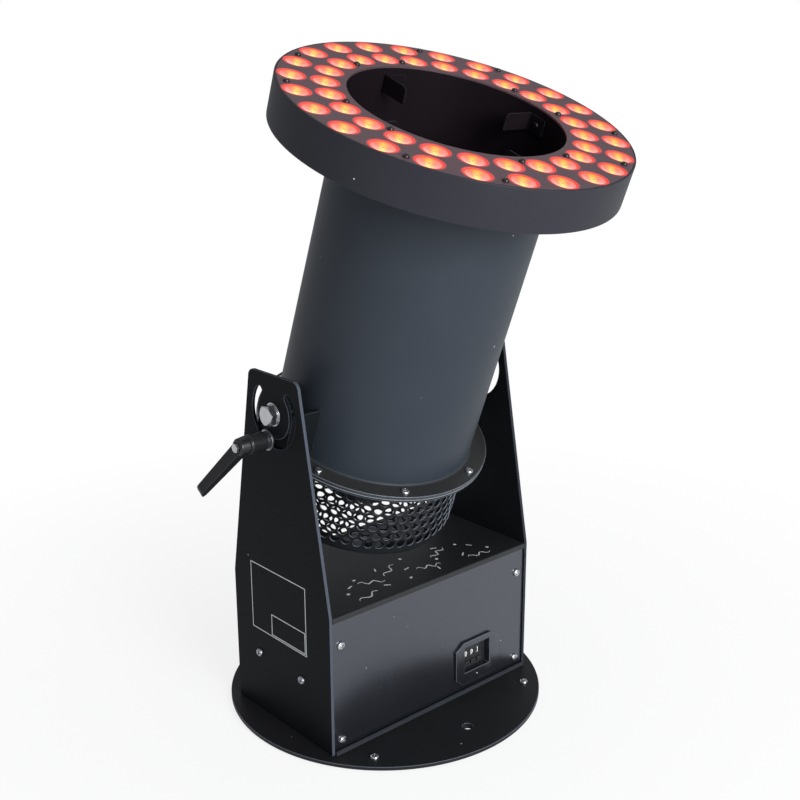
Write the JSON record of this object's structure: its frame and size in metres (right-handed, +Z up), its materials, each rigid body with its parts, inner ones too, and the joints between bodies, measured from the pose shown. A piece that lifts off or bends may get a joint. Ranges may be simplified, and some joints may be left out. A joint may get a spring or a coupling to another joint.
{
  "type": "confetti blower",
  "caption": "Electric confetti blower: a tilting barrel with an axial fan, intake basket and LED mouth ring, clamped between two side plates on a control box and round base.",
  "frame": {"origin": "centre of the base pad's underside, on the surface the blower stands on", "axes": "+Z up, -Y towards the front panel and the side the barrel leans to, +X to the right seen from the front, along the tilt axis"},
  "size_m": [0.3318, 0.3893, 0.6174],
  "materials": {
    "powder_coat": "satin black powder coat, fine texture",
    "cast_black": "satin black coated zinc casting",
    "black_plastic": "moulded black plastic",
    "rubber": "matt black rubber",
    "zinc": "bright zinc plate",
    "dark_metal": "dark plated steel",
    "aluminium": "bare aluminium",
    "numeral_white": "black plastic wheel with plain white numerals",
    "circuit_board": "green circuit board",
    "lens_red": "clear lens lit red by its LED"
  },
  "bodies": {
    "base": {"base_pad": "rubber", "base_plate": "powder_coat", "chassis": "powder_coat", "side_plate_left": "powder_coat", "side_plate_right": "powder_coat", "front_panel": "powder_coat", "rear_panel": "powder_coat", "top_cover": "powder_coat", "switch_bezel": "black_plastic", "switch_housing": "black_plastic", "power_inlet": "black_plastic", "front_panel_screw_1": "zinc", "front_panel_screw_2": "zinc", "front_panel_screw_3": "zinc", "front_panel_screw_4": "zinc", "wheel_axle": "zinc", "signal_in_socket": "dark_metal", "signal_out_socket": "dark_metal", "power_supply": "aluminium", "control_board": "circuit_board"},
    "barrel": {"barrel_tube": "powder_coat", "ring_casing": "powder_coat", "ring_face": "powder_coat", "lens_plate": "lens_red", "led_board": "circuit_board", "mouth_clip_1": "powder_coat", "mouth_clip_2": "powder_coat", "mouth_clip_3": "powder_coat", "mouth_clip_4": "powder_coat", "trunnion_bracket_left": "powder_coat", "trunnion_bracket_right": "powder_coat", "pivot_washer_left": "zinc", "pivot_washer_right": "zinc", "pivot_bolt_left": "zinc", "pivot_bolt_right": "zinc", "guide_bolt": "zinc", "clamp_stud": "zinc", "clamp_washer": "zinc", "motor_spider": "dark_metal", "fan_motor": "aluminium", "motor_end_cap": "dark_metal", "fan_guard": "dark_metal", "intake_basket": "powder_coat"},
    "fan": {"impeller": "black_plastic", "motor_shaft": "zinc"},
    "lever_core": {"lever_insert": "dark_metal", "lever_screw": "zinc"},
    "lever_grip": {"lever_handle": "cast_black"},
    "wheel_1": {"number_wheel_1": "numeral_white"},
    "plus_1": {"plus_button_1": "black_plastic"},
    "minus_1": {"minus_button_1": "black_plastic"},
    "wheel_2": {"number_wheel_2": "numeral_white"},
    "plus_2": {"plus_button_2": "black_plastic"},
    "minus_2": {"minus_button_2": "black_plastic"},
    "wheel_3": {"number_wheel_3": "numeral_white"},
    "plus_3": {"plus_button_3": "black_plastic"},
    "minus_3": {"minus_button_3": "black_plastic"}
  },
  "joints": [
    {"name": "tilt", "type": "hinge", "parent": "base", "child": "barrel", "pos_m": [0, 0, 0.3096], "axis": [1, 0, 0], "range_deg": [-140, 99]},
    {"name": "fan_spin", "type": "hinge", "parent": "barrel", "child": "fan", "pos_m": [0, 0.01051, 0.2815], "axis": [0, -0.3502, 0.9367], "continuous": true},
    {"name": "lever_turn", "type": "hinge", "parent": "barrel", "child": "lever_core", "pos_m": [-0.14, 0.00946, 0.28431], "axis": [-1, 0, 0], "range_deg": [-30, 180]},
    {"name": "lever_pull", "type": "slide", "parent": "lever_core", "child": "lever_grip", "axis": [-1, 0, 0], "range_m": [0, 0.003], "stiffness_N_per_m": 400, "springref_m": -0.003},
    {"name": "number_wheel_1_turn", "type": "hinge", "parent": "base", "child": "wheel_1", "pos_m": [0.0484, -0.0581, 0.0417], "axis": [1, 0, 0], "continuous": true},
    {"name": "number_wheel_2_turn", "type": "hinge", "parent": "base", "child": "wheel_2", "pos_m": [0.0564, -0.0581, 0.0417], "axis": [1, 0, 0], "continuous": true},
    {"name": "number_wheel_3_turn", "type": "hinge", "parent": "base", "child": "wheel_3", "pos_m": [0.0644, -0.0581, 0.0417], "axis": [1, 0, 0], "continuous": true},
    {"name": "plus_button_1_press", "type": "slide", "parent": "base", "child": "plus_1", "axis": [0, 1, 0], "range_m": [0, 0.0015], "stiffness_N_per_m": 300, "springref_m": -0.001},
    {"name": "plus_button_2_press", "type": "slide", "parent": "base", "child": "plus_2", "axis": [0, 1, 0], "range_m": [0, 0.0015], "stiffness_N_per_m": 300, "springref_m": -0.001},
    {"name": "plus_button_3_press", "type": "slide", "parent": "base", "child": "plus_3", "axis": [0, 1, 0], "range_m": [0, 0.0015], "stiffness_N_per_m": 300, "springref_m": -0.001},
    {"name": "minus_button_1_press", "type": "slide", "parent": "base", "child": "minus_1", "axis": [0, 1, 0], "range_m": [0, 0.0015], "stiffness_N_per_m": 300, "springref_m": -0.001},
    {"name": "minus_button_2_press", "type": "slide", "parent": "base", "child": "minus_2", "axis": [0, 1, 0], "range_m": [0, 0.0015], "stiffness_N_per_m": 300, "springref_m": -0.001},
    {"name": "minus_button_3_press", "type": "slide", "parent": "base", "child": "minus_3", "axis": [0, 1, 0], "range_m": [0, 0.0015], "stiffness_N_per_m": 300, "springref_m": -0.001}
  ]
}
